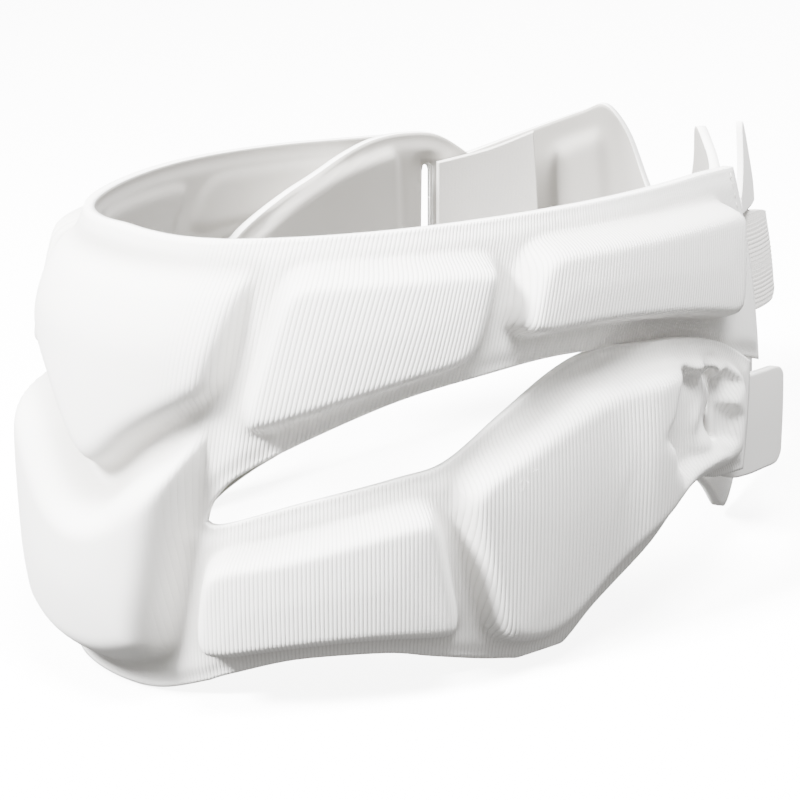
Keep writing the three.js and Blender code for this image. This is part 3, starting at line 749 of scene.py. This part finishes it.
# %% Strips
# turn below, height below, turn above, height above, distance
LEFT_FLAP = [
    [129, 0.88, 129, 0.92, 0], [131.5, 0.88, 131.5, 0.985, 0], [134.5, 0.88, 134.5, 1.09, 0],
    [138, 0.88, 137.5, 1.0, 0], [142, 0.88, 141, 0.92, 0],
]
FLAP_LEAN = 0.7
EAR_STANDS_OFF = 5.5
LEFT_UPPER_TAB = [
    [117, 0.64, 117, 0.88, -0.675], [123, 0.645, 123, 0.885, -0.675], [128.8, 0.645, 128.8, 0.89, -0.675],
    [132, 0.64, 132, 0.885, -0.45], [136, 0.64, 136, 0.87, 0], [140, 0.645, 140.5, 0.86, 0.35],
    [142, 0.665, 143, 0.85, 0.5],
]
RIGHT_UPPER_TAB = [
    [122.6, 0.645, 122.6, 0.86, -0.675], [128.8, 0.645, 128.8, 0.84, -0.675],
    [132, 0.64, 132, 0.835, -0.45], [136, 0.64, 136, 0.83, 0], [140, 0.645, 140.5, 0.825, 0.35],
    [142, 0.665, 143, 0.81, 0.5],
]
LEFT_LOWER_TAB = [
    [101, 0.42, 101, 0.55, 0.55], [108, 0.37, 108, 0.54, 0.55], [115, 0.31, 115, 0.535, 0.55],
    [121, 0.29, 121, 0.53, 0.65], [126, 0.285, 126, 0.525, 0.95], [130, 0.285, 130, 0.52, 1.35],
    [131.5, 0.305, 131.5, 0.5, 1.5],
]
RIGHT_STRAP = [
    [118.9, 0.66, 118.9, 0.885, -3.6], [130, 0.66, 130, 0.915, -3.6], [141, 0.67, 141, 0.96, -3.4],
]


def bend_round_and_thicken(piece, thickness):
    """Places a flat strip on the ring, then gives it its thickness."""
    mesh = piece.data
    place(mesh, ring_point(kept(mesh, "turn"), kept(mesh, "height"), kept(mesh, "inside")))
    return thicken(piece, thickness)


def strip(name, rows, side, thickness, columns, up_cells, weave=0.0, pitch=1.2, lean_out=0.0):
    """A narrow strip between the edges of a table, with an optional basket weave and lean."""
    table = [[a, b, c, d, out, out] for a, b, c, d, out in rows]
    piece = panel(name, table, side, columns, up_cells, 4)
    mesh = piece.data
    outside = bend_round_and_thicken(piece, thickness)
    turn, height, inside = kept(mesh, "turn"), kept(mesh, "height"), kept(mesh, "inside")
    s = along(turn)
    over = np.abs(np.sin(np.pi * s / pitch) * np.sin(np.pi * height / pitch)) ** 0.6 - 0.4
    relief = weave * over * np.where(outside, 1, -1)
    if lean_out:
        low, high = height.min(), height.max()
        inside = inside + lean_out * SHEET * (height - low) / (high - low)
    place(mesh, ring_point(turn, height, inside + np.where(outside, thickness, 0) + relief))
    return piece


onto_rear = REAR_ROWS[0][3] * SHEET + REAR_SHEET + CLEAR
flap_rows = [[a, b, c, d, (onto_rear + EAR_STANDS_OFF) / SHEET] for a, b, c, d, _ in LEFT_FLAP]
flap = strip("loose_ear", flap_rows, 1, FLAP, 12, 12, lean_out=FLAP_LEAN)
tab_left = strip("upper_strap_left", LEFT_UPPER_TAB, 1, WEBBING, 110, 84, weave=0.15, pitch=1.15)
tab_right = strip("upper_strap_right", RIGHT_UPPER_TAB, -1, WEBBING, 90, 70, weave=0.15, pitch=1.15)
tape = strip("lower_strap_left", LEFT_LOWER_TAB, 1, STRAP, 56, 24)
strap = strip("lower_strap_right", RIGHT_STRAP, -1, STRAP, 90, 84, weave=0.05, pitch=0.8)
for piece, levels in ((flap, 2), (tab_left, 0), (tab_right, 0), (tape, 1), (strap, 0)):
    if levels:
        finish_skin(piece, levels=levels)
    else:
        select_only(piece)
        bpy.ops.object.shade_smooth()
    rib_map(piece)
    keep(piece.data, "ribbed", np.full(len(piece.data.vertices), 0.3))
print("strips made", [p.name for p in (flap, tab_left, tab_right, tape, strap)])

# %% [markdown]
# ## Materials
# The cover is a white knit with fine ribs. Painted shade darkens the colour in the furrows between the ribs
# and in the grooves at the feet of the pads. The ribs have small stitches along them. The lining is a
# plain warm grey jersey. Every pattern reads the map of its own piece, so it bends with the cloth. The
# class below lets the maths be written as plain sums.

# %% A small class for the maths of a material
class Signal:
    """One value in a material. Plus, minus, times, divide and power make the maths."""

    def __init__(self, tree, socket=None):
        self.tree = tree
        self.socket = socket

    def node(self, kind, settings=None, inputs=None, output=0):
        """Any other node: its type, its settings, and what goes into its inputs."""
        made = self.tree.nodes.new(kind)
        for name, value in (settings or {}).items():
            setattr(made, name, value)
        for name, value in (inputs or {}).items():
            if isinstance(value, Signal):
                self.tree.links.new(value.socket, made.inputs[name])
            else:
                made.inputs[name].default_value = value
        return Signal(self.tree, made.outputs[output])

    def maths(self, operation, first, second=0.0):
        return self.node("ShaderNodeMath", {"operation": operation}, {0: first, 1: second})

    def __add__(self, other):
        return self.maths("ADD", self, other)

    def __radd__(self, other):
        return self.maths("ADD", other, self)

    def __sub__(self, other):
        return self.maths("SUBTRACT", self, other)

    def __rsub__(self, other):
        return self.maths("SUBTRACT", other, self)

    def __mul__(self, other):
        return self.maths("MULTIPLY", self, other)

    def __rmul__(self, other):
        return self.maths("MULTIPLY", other, self)

    def __truediv__(self, other):
        return self.maths("DIVIDE", self, other)

    def __rtruediv__(self, other):
        return self.maths("DIVIDE", other, self)

    def __pow__(self, other):
        return self.maths("POWER", self, other)

    def __neg__(self):
        return self.maths("MULTIPLY", self, -1.0)

    def size(self):
        return self.maths("ABSOLUTE", self)

    def wave(self):
        return self.maths("SINE", self)


def cloth(name, dark, light, rib=0.0, pitch=RIB_PITCH, weave=0.0, weave_pitch=0.9, fuzz=0.05, rough=0.95):
    """A matte cloth with ribs or a fine weave, and a little fuzz."""
    material = bpy.data.materials.new(name)
    material.use_nodes = True
    tree = material.node_tree
    shader = tree.nodes["Principled BSDF"]
    shader.inputs["Roughness"].default_value = rough
    shader.inputs["Specular IOR Level"].default_value = 0.2
    shader.inputs["Sheen Weight"].default_value = 0.25
    shader.inputs["Sheen Roughness"].default_value = 0.6
    start = Signal(tree)
    ribs = start.node("ShaderNodeUVMap", {"uv_map": "ribs"})
    across = start.node("ShaderNodeSeparateXYZ", None, {0: ribs}, 0)
    length = start.node("ShaderNodeSeparateXYZ", None, {0: ribs}, 1)
    strength = start.node("ShaderNodeAttribute", {"attribute_name": "ribbed"}, None, 2)
    groove = start.node("ShaderNodeAttribute", {"attribute_name": "groove"}, None, 2)
    ridge = (across * (math.pi / pitch)).wave().size() ** 0.55
    stitch = (length * (2 * math.pi / 0.85)).wave() * 0.5 + 0.5
    knit = (ridge * (stitch * 0.06 + 0.94)) * strength * rib
    thread = math.pi / weave_pitch
    threads = ((across * thread).wave() * (length * thread).wave()).size() ** 0.6
    lint = start.node("ShaderNodeTexNoise", {"noise_dimensions": "3D"},
                      {"Vector": ribs, "Scale": 1.6, "Detail": 4.0})
    height = knit + threads * weave + lint * fuzz
    relief = start.node("ShaderNodeBump", None, {"Height": height, "Strength": 1.0, "Distance": 0.0002})
    tree.links.new(relief.socket, shader.inputs["Normal"])
    # painted shade: the furrows between the ribs and the grooves at the feet of the pads are darkened in the
    # colour, and the lint adds a little random tone
    shade = 1.0 - (1.0 - ridge) * strength * rib * 0.22 - (1.0 - lint) * 0.06 - groove * 0.3
    colour = start.node("ShaderNodeMix", {"data_type": "RGBA"},
                        {0: shade, 6: dark + (1,), 7: light + (1,)}, 2)
    tree.links.new(colour.socket, shader.inputs["Base Color"])
    return material


KNIT = cloth("ribbed knit", (0.40, 0.385, 0.36), (0.84, 0.83, 0.81), rib=0.8)
LINING = cloth("jersey lining", (0.26, 0.25, 0.232), (0.4, 0.385, 0.36), weave=0.02, weave_pitch=0.45)
RIM = cloth("cut rim", (0.6, 0.59, 0.57), (0.9, 0.89, 0.87), fuzz=0.4)
WEBBING_CLOTH = cloth("webbing", (0.36, 0.345, 0.32), (0.76, 0.74, 0.71), weave=0.35, weave_pitch=1.05)
BRUSHED = cloth("brushed strap", (0.36, 0.35, 0.325), (0.62, 0.6, 0.57),
                weave=0.12, weave_pitch=0.5, fuzz=0.25)
TAPE_CLOTH = cloth("smooth tape", (0.45, 0.44, 0.42), (0.7, 0.69, 0.67),
                   weave=0.03, weave_pitch=0.4, rough=0.8)


def dress(piece, *materials):
    """Outside, lining and rim in that order."""
    while len(piece.data.materials) < len(materials):
        piece.data.materials.append(None)
    for i, material in enumerate(materials):
        piece.data.materials[i] = material


dress(cover, KNIT, LINING, RIM)
dress(rear, KNIT, LINING, RIM)
dress(flap, KNIT, LINING, RIM)
dress(tab_left, WEBBING_CLOTH, WEBBING_CLOTH, WEBBING_CLOTH)
dress(tab_right, WEBBING_CLOTH, WEBBING_CLOTH, WEBBING_CLOTH)
dress(strap, BRUSHED, BRUSHED, BRUSHED)
dress(tape, TAPE_CLOTH, TAPE_CLOTH, TAPE_CLOTH)
print("materials", len(bpy.data.materials))

# %% [markdown]
# ## Loose fibres and stitches
# The top rim is a cut edge, so short ends of yarn stand out of it. A few stitches hold the end of the
# upper arm. They are tiny, so each is one small primitive, copied along a line and joined.

# %% Fibres and stitches
chance = np.random.default_rng(5)
# a small frayed spot on the left lower arm
SNAG_TURN = 71.5
SNAG_HEIGHT = 50.5


def joined_copies(name, seed, matrices):
    """Copies of a small primitive at these places, joined into one piece at the origin."""
    copies = []
    for matrix in matrices:
        twin = seed.copy()
        twin.data = seed.data.copy()
        bpy.context.collection.objects.link(twin)
        twin.matrix_world = matrix
        copies.append(twin)
    select_only(*copies)
    bpy.ops.object.transform_apply(location=True, rotation=True, scale=True)
    bpy.ops.object.join()
    piece = bpy.context.object
    piece.name = name
    bpy.data.objects.remove(seed)
    return piece


def aim(at, towards):
    """A placing that stands a primitive's own Z along a direction."""
    return Matrix.Translation(Vector(at)) @ Vector(towards).to_track_quat("Z", "Y").to_matrix().to_4x4()


def fibre_places(count):
    """Places of loose fibres along the top rim of the front and of the left upper arm."""
    found = []
    top = fill([[t, high] for t, low, high in FRONT_ROWS] + [[r[2], r[3]] for r in LEFT_UPPER_ROWS[1:]], 6)
    for turn in chance.uniform(-20, 124, count):
        share = np.interp(turn, top[:, 0], top[:, 1])
        out = chance.uniform(0.6, 3.2)
        root = ring_point(np.array(turn), np.array(share * BAND_HEIGHT - 0.3), out)
        lean = chance.normal(0, 0.8, 3) + np.array([0, 0, 1.0])
        found.append(aim(root, lean))
    return found


bpy.ops.object.select_all(action="DESELECT")
bpy.ops.mesh.primitive_cone_add(vertices=3, radius1=0.00005, radius2=0.00001, depth=0.0016,
                                location=(0, 0, 0))
snags = []
for turn in chance.normal(SNAG_TURN, 1.3, 9):
    spot = ring_point(np.array(turn), np.array(SNAG_HEIGHT + chance.normal(0, 2.0)), SHEET + PAD_SIDE * 0.96)
    snags.append(aim(spot, chance.normal(0, 1, 3) + np.array([0.6, -0.3, 0.4])))
fibres = joined_copies("loose_fibres", bpy.context.object, fibre_places(260) + snags)

stitch_places = []
for share in np.linspace(0.85, 0.985, 7):
    at = ring_point(np.array(123.2), np.array(share * BAND_HEIGHT), SHEET + 0.05)
    above = ring_point(np.array(123.2), np.array(share * BAND_HEIGHT + 1), SHEET + 0.05)
    stitch_places.append(aim(at, above - at))
bpy.ops.object.select_all(action="DESELECT")
bpy.ops.mesh.primitive_uv_sphere_add(segments=10, ring_count=6, radius=0.00022, location=(0, 0, 0))
one = bpy.context.object
one.scale = (1, 1, 3.2)
bpy.ops.object.transform_apply(location=False, rotation=False, scale=True)
stitches = joined_copies("arm_stitches", one, stitch_places)


def plain(name, colour, rough):
    """A plain matte yarn."""
    material = bpy.data.materials.new(name)
    material.use_nodes = True
    material.node_tree.nodes["Principled BSDF"].inputs["Base Color"].default_value = colour + (1,)
    material.node_tree.nodes["Principled BSDF"].inputs["Roughness"].default_value = rough
    return material


dress(fibres, plain("yarn ends", (0.82, 0.81, 0.79), 0.9))
dress(stitches, plain("thread", (0.74, 0.73, 0.7), 0.7))
for piece in (fibres, stitches):
    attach(piece, "root")
print("fibres and stitches", len(fibres.data.polygons), len(stitches.data.polygons))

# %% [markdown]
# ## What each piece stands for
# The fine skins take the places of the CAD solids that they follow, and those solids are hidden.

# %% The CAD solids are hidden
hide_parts("band", "pad_front_upper", "pad_front_lower", "pad_upper_front_left",
            "pad_upper_front_right", "pad_upper_rear_left", "pad_upper_rear_right",
            "pad_lower_front_left", "pad_lower_front_right", "pad_lower_rear_left", "pad_lower_rear_right")
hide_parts("rear_panel", "pad_rear_left", "pad_rear_right")
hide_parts("flap_rear_left")
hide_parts("tab_upper_left")
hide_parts("tab_upper_right")
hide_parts("tab_lower_left")
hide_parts("tab_lower_right")
for piece, name in ((cover, "cover"), (rear, "sheet"), (flap, "cover"), (tab_left, "webbing"),
                    (tab_right, "webbing"), (tape, "tape"), (strap, "tape")):
    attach(piece, "root")

# %% [markdown]
# ## Floor, light and camera
# The photograph is a studio picture: a pale floor that runs into the background, a broad soft light
# from above and from the left, and a long lens. The camera's place and view are fitted to the photograph.

# %% Stage
bpy.ops.object.select_all(action="DESELECT")
bpy.ops.mesh.primitive_plane_add(size=6, location=(0, 0, -0.0004))
floor = bpy.context.object
floor.name = "floor"
pale = bpy.data.materials.new("pale floor")
pale.use_nodes = True
pale.node_tree.nodes["Principled BSDF"].inputs["Base Color"].default_value = (0.9, 0.9, 0.9, 1)
pale.node_tree.nodes["Principled BSDF"].inputs["Roughness"].default_value = 0.9
pale.node_tree.nodes["Principled BSDF"].inputs["Emission Color"].default_value = (1, 1, 0.995, 1)
pale.node_tree.nodes["Principled BSDF"].inputs["Emission Strength"].default_value = 7
floor.data.materials.append(pale)
floor.visible_diffuse = False
floor.visible_glossy = False

world = bpy.data.worlds.new("studio")
bpy.context.scene.world = world
world.use_nodes = True
sky = Signal(world.node_tree)
upward = sky.node("ShaderNodeSeparateXYZ", None, {0: sky.node("ShaderNodeTexCoord", None, None, 0)}, 2)
lit = sky.node("ShaderNodeMapRange", None, {0: upward, 1: -0.6, 2: 1.0, 3: 0.3, 4: 0.9})
tint = sky.node("ShaderNodeMix", {"data_type": "RGBA"},
                {0: lit, 6: (0, 0, 0, 1), 7: (1.0, 0.992, 0.975, 1)}, 2)
world.node_tree.links.new(tint.socket, world.node_tree.nodes["Background"].inputs["Color"])
world.node_tree.nodes["Background"].inputs["Strength"].default_value = 1.25

# the view of the photograph in degrees, and the camera's place in metres
VIEW_TURN = 53.79
VIEW_DOWN = 20.55
VIEW_ROLL = -5.63
CAMERA_AT = (0.4675, -0.343, 0.2584)
LENS_PIXELS = 2512
FRAME_PIXELS = 800


def soft_light(name, place_at, towards, size, power):
    """A square soft light that looks at a point."""
    bpy.ops.object.select_all(action="DESELECT")
    bpy.ops.object.light_add(type="AREA", location=place_at)
    lamp = bpy.context.object
    lamp.name = name
    lamp.data.size = size
    lamp.data.energy = power
    lamp.rotation_euler = (Vector(towards) - Vector(place_at)).to_track_quat("-Z", "Y").to_euler()
    return lamp


key = soft_light("key", (-0.15, -0.8, 0.95), (0, 0, 0.05), 0.3, 115)
top = soft_light("top", (0.35, 0.05, 1.2), (0, 0, 0.03), 0.5, 70)

bpy.ops.object.select_all(action="DESELECT")
bpy.ops.object.camera_add(location=CAMERA_AT)
camera = bpy.context.object
camera.name = "camera"
facing = Matrix.Rotation(math.radians(VIEW_TURN), 4, "Z")
tipped = Matrix.Rotation(math.radians(90 - VIEW_DOWN), 4, "X")
rolled = Matrix.Rotation(math.radians(VIEW_ROLL), 4, "Z")
camera.rotation_euler = (facing @ tipped @ rolled).to_euler()
camera.data.sensor_width = 36
camera.data.lens = LENS_PIXELS / FRAME_PIXELS * camera.data.sensor_width
camera.data.clip_end = 20
camera.data.dof.use_dof = False
bpy.context.scene.camera = camera
print("camera lens", round(camera.data.lens, 2))
